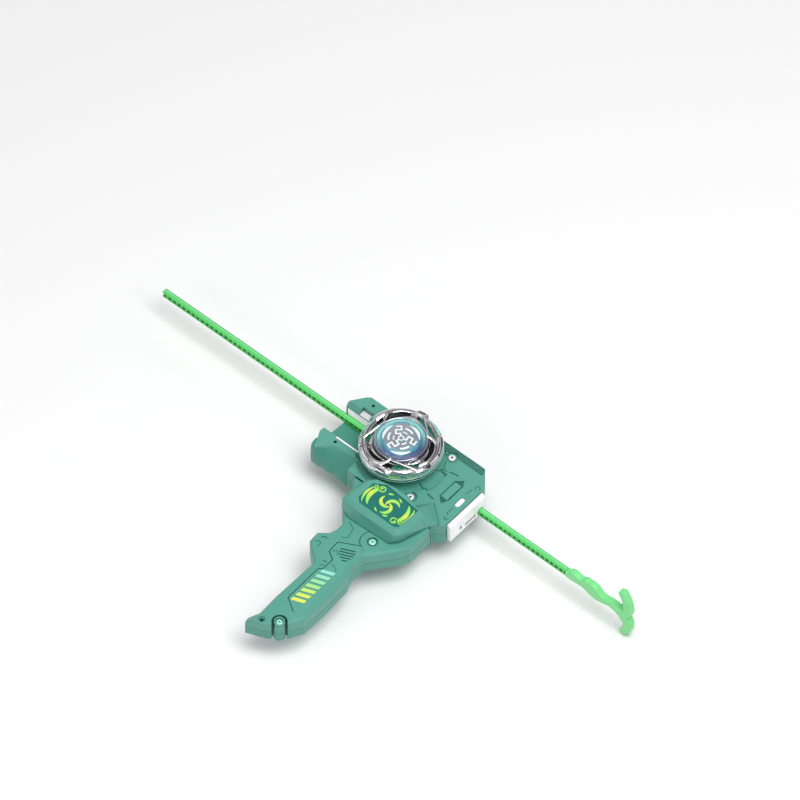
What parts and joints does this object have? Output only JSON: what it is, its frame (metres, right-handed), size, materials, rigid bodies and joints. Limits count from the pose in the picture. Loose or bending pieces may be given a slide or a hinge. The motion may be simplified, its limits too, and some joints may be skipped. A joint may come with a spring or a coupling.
{
  "type": "spinning top launcher",
  "caption": "Handheld ripcord launcher with a side grip: pulling the toothed ripcord turns a pinion and the prongs that spin the top seated on it.",
  "frame": {"origin": "launch axis, on the plane of the flat underside", "axes": "+X along the ripcord towards its pull handle, -Y along the grip, +Z along the launch axis towards the top"},
  "size_m": [0.3479, 0.1668, 0.0496],
  "materials": {
    "teal_upper": "fine satin",
    "teal_lower": "fine satin",
    "white_plastic": "smooth",
    "nylon": "plain",
    "steel": "plain",
    "white_screw": "white paint",
    "mint_screw": "mint paint",
    "badge_dark": "printed panel",
    "lime_print": "printed",
    "stripe_print": "printed, cyan to yellow",
    "ripcord_green": "smooth",
    "prong_plastic": "plain",
    "clear_teal": "clear tinted plastic",
    "core_yellow": "smooth",
    "tip_teal": "smooth",
    "blade_metal": "polished die casting",
    "bezel_cyan": "metallic print",
    "chip_grey": "metallic print",
    "emblem_white": "printed"
  },
  "bodies": {
    "launcher": {"lower_housing": "teal_lower", "upper_housing": "teal_upper", "rack_liner": "white_plastic", "end_cap": "white_plastic", "spindle_bush": "nylon", "thrust_washer": "steel", "housing_screws": "white_screw", "label_plate": "teal_upper", "grip_lower": "teal_lower", "grip_upper": "teal_upper", "grip_inlay": "teal_upper", "grip_stripes": "stripe_print", "grip_screws": "mint_screw", "hub_cover": "teal_upper", "hub_screws": "steel", "badge_plate": "badge_dark", "badge_relief": "lime_print"},
    "spindle": {"spindle_shaft": "steel", "drive_pinion": "nylon", "prong_head": "prong_plastic", "shaft_clip": "steel"},
    "ripcord": {"rack_strip": "ripcord_green", "pull_handle": "ripcord_green"},
    "top": {"tip_point": "tip_teal", "tip_base": "tip_teal", "track_core": "core_yellow", "clear_ring": "clear_teal", "blade_ring": "blade_metal", "chip_bezel": "bezel_cyan", "face_chip": "chip_grey", "chip_emblem": "emblem_white"}
  },
  "joints": [
    {"name": "ripcord_pull", "type": "slide", "parent": "launcher", "child": "ripcord", "axis": [1, 0, 0], "range_m": [-0.064, 0.172]},
    {"name": "spindle_spin", "type": "hinge", "parent": "launcher", "child": "spindle", "pos_m": [0, 0, 0], "axis": [0, 0, 1], "range_deg": [-1640, 620]},
    {"name": "top_lift", "type": "slide", "parent": "spindle", "child": "top", "axis": [0, 0, 1], "range_m": [0, 0.03]}
  ],
  "couplings": [
    {"joint": "spindle_spin", "follows": "ripcord_pull", "rad_per_m": -165.29}
  ]
}
